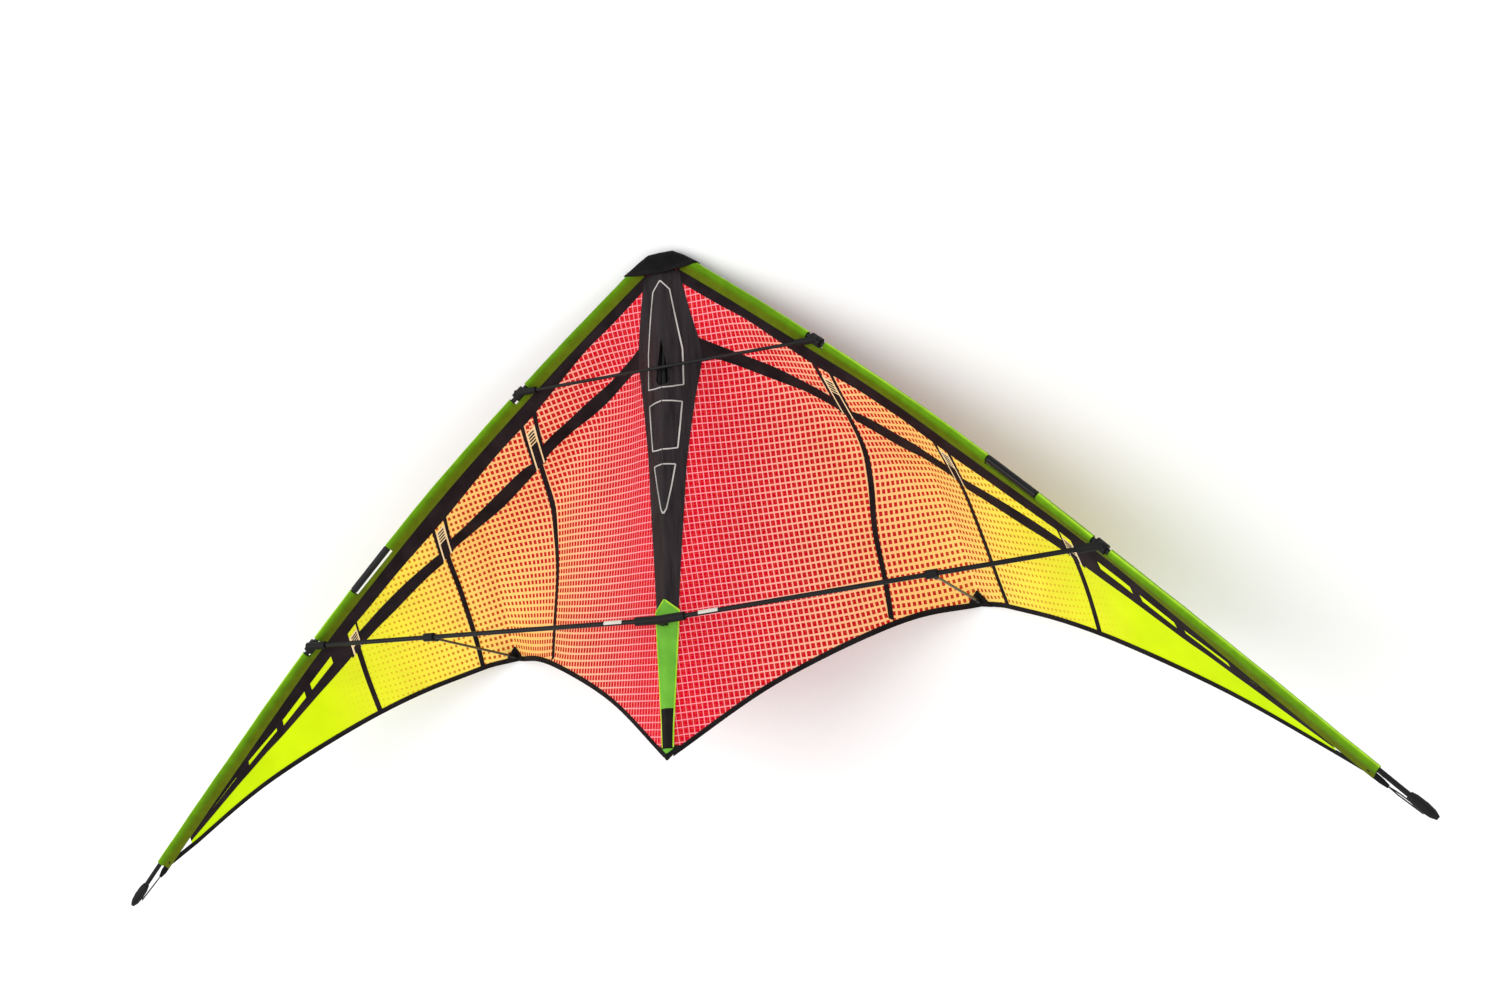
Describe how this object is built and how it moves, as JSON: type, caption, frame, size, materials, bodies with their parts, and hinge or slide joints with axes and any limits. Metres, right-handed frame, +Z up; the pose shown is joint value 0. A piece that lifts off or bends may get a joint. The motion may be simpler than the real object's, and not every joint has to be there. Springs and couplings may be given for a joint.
{
  "type": "dual-line delta stunt kite",
  "caption": "Swept delta stunt kite with a carbon frame, billowed sail and swivelling standoffs, lying on its back.",
  "frame": {"origin": "on the ground under the middle of the kite's box", "axes": "+X to the kite's right seen from its spreader side, +Y towards the nose, +Z up"},
  "size_m": [1.5574, 0.6616, 0.233],
  "materials": {
    "carbon": "pultruded carbon rod, satin black",
    "moulded": "moulded black fitting",
    "black_cloth": "black and aubergine polyester tape and panel",
    "sleeve_green": "woven green sleeve cloth",
    "tail_green": "bright green sailcloth",
    "sail_red": "ripstop printed red",
    "sail_orange": "ripstop printed orange",
    "sail_yellow": "ripstop printed yellow",
    "sail_lime": "ripstop, plain lime",
    "band_white": "off-white tape band"
  },
  "bodies": {
    "airframe": {"centre_tee": "moulded", "leading_edge_ferrule_left": "moulded", "leading_edge_ferrule_right": "moulded", "leading_edge_lower_rod_left": "carbon", "leading_edge_lower_rod_right": "carbon", "leading_edge_sleeve_left": "sleeve_green", "leading_edge_sleeve_right": "sleeve_green", "leading_edge_upper_rod_left": "carbon", "leading_edge_upper_rod_right": "carbon", "lower_connector_left": "moulded", "lower_connector_right": "moulded", "lower_spreader_left": "carbon", "lower_spreader_right": "carbon", "nose_cap": "black_cloth", "sail_inner_left": "sail_red", "sail_inner_right": "sail_red", "sail_middle_left": "sail_orange", "sail_middle_right": "sail_orange", "sail_outer_left": "sail_yellow", "sail_outer_right": "sail_yellow", "sail_tip_left": "sail_lime", "sail_tip_right": "sail_lime", "spine": "carbon", "spine_panel": "black_cloth", "spine_sleeve_lower": "black_cloth", "spine_sleeve_upper": "black_cloth", "spreader_band_left": "band_white", "spreader_band_right": "band_white", "standoff_patch_left": "black_cloth", "standoff_patch_right": "black_cloth", "tail_panel": "tail_green", "tail_patch": "black_cloth", "tail_pocket": "black_cloth", "tip_elastic_left": "black_cloth", "tip_elastic_right": "black_cloth", "tip_nock_left": "moulded", "tip_nock_right": "moulded", "tip_tab_left": "black_cloth", "tip_tab_right": "black_cloth", "trailing_edge_binding_left": "black_cloth", "trailing_edge_binding_right": "black_cloth", "upper_connector_left": "moulded", "upper_connector_right": "moulded", "upper_spreader": "carbon"},
    "standoff_left": {"standoff_clip_left": "moulded", "standoff_rod_left": "carbon", "standoff_cap_left": "moulded"},
    "standoff_right": {"standoff_clip_right": "moulded", "standoff_rod_right": "carbon", "standoff_cap_right": "moulded"}
  },
  "joints": [
    {"name": "standoff_left_swing", "type": "hinge", "parent": "airframe", "child": "standoff_left", "pos_m": [-0.31, -0.05353, 0.1653], "axis": [-0.9972, 0.0298, -0.0683], "range_deg": [0, 270]},
    {"name": "standoff_right_swing", "type": "hinge", "parent": "airframe", "child": "standoff_right", "pos_m": [0.31, -0.05353, 0.1653], "axis": [-0.9972, -0.0298, 0.0683], "range_deg": [0, 270]}
  ]
}
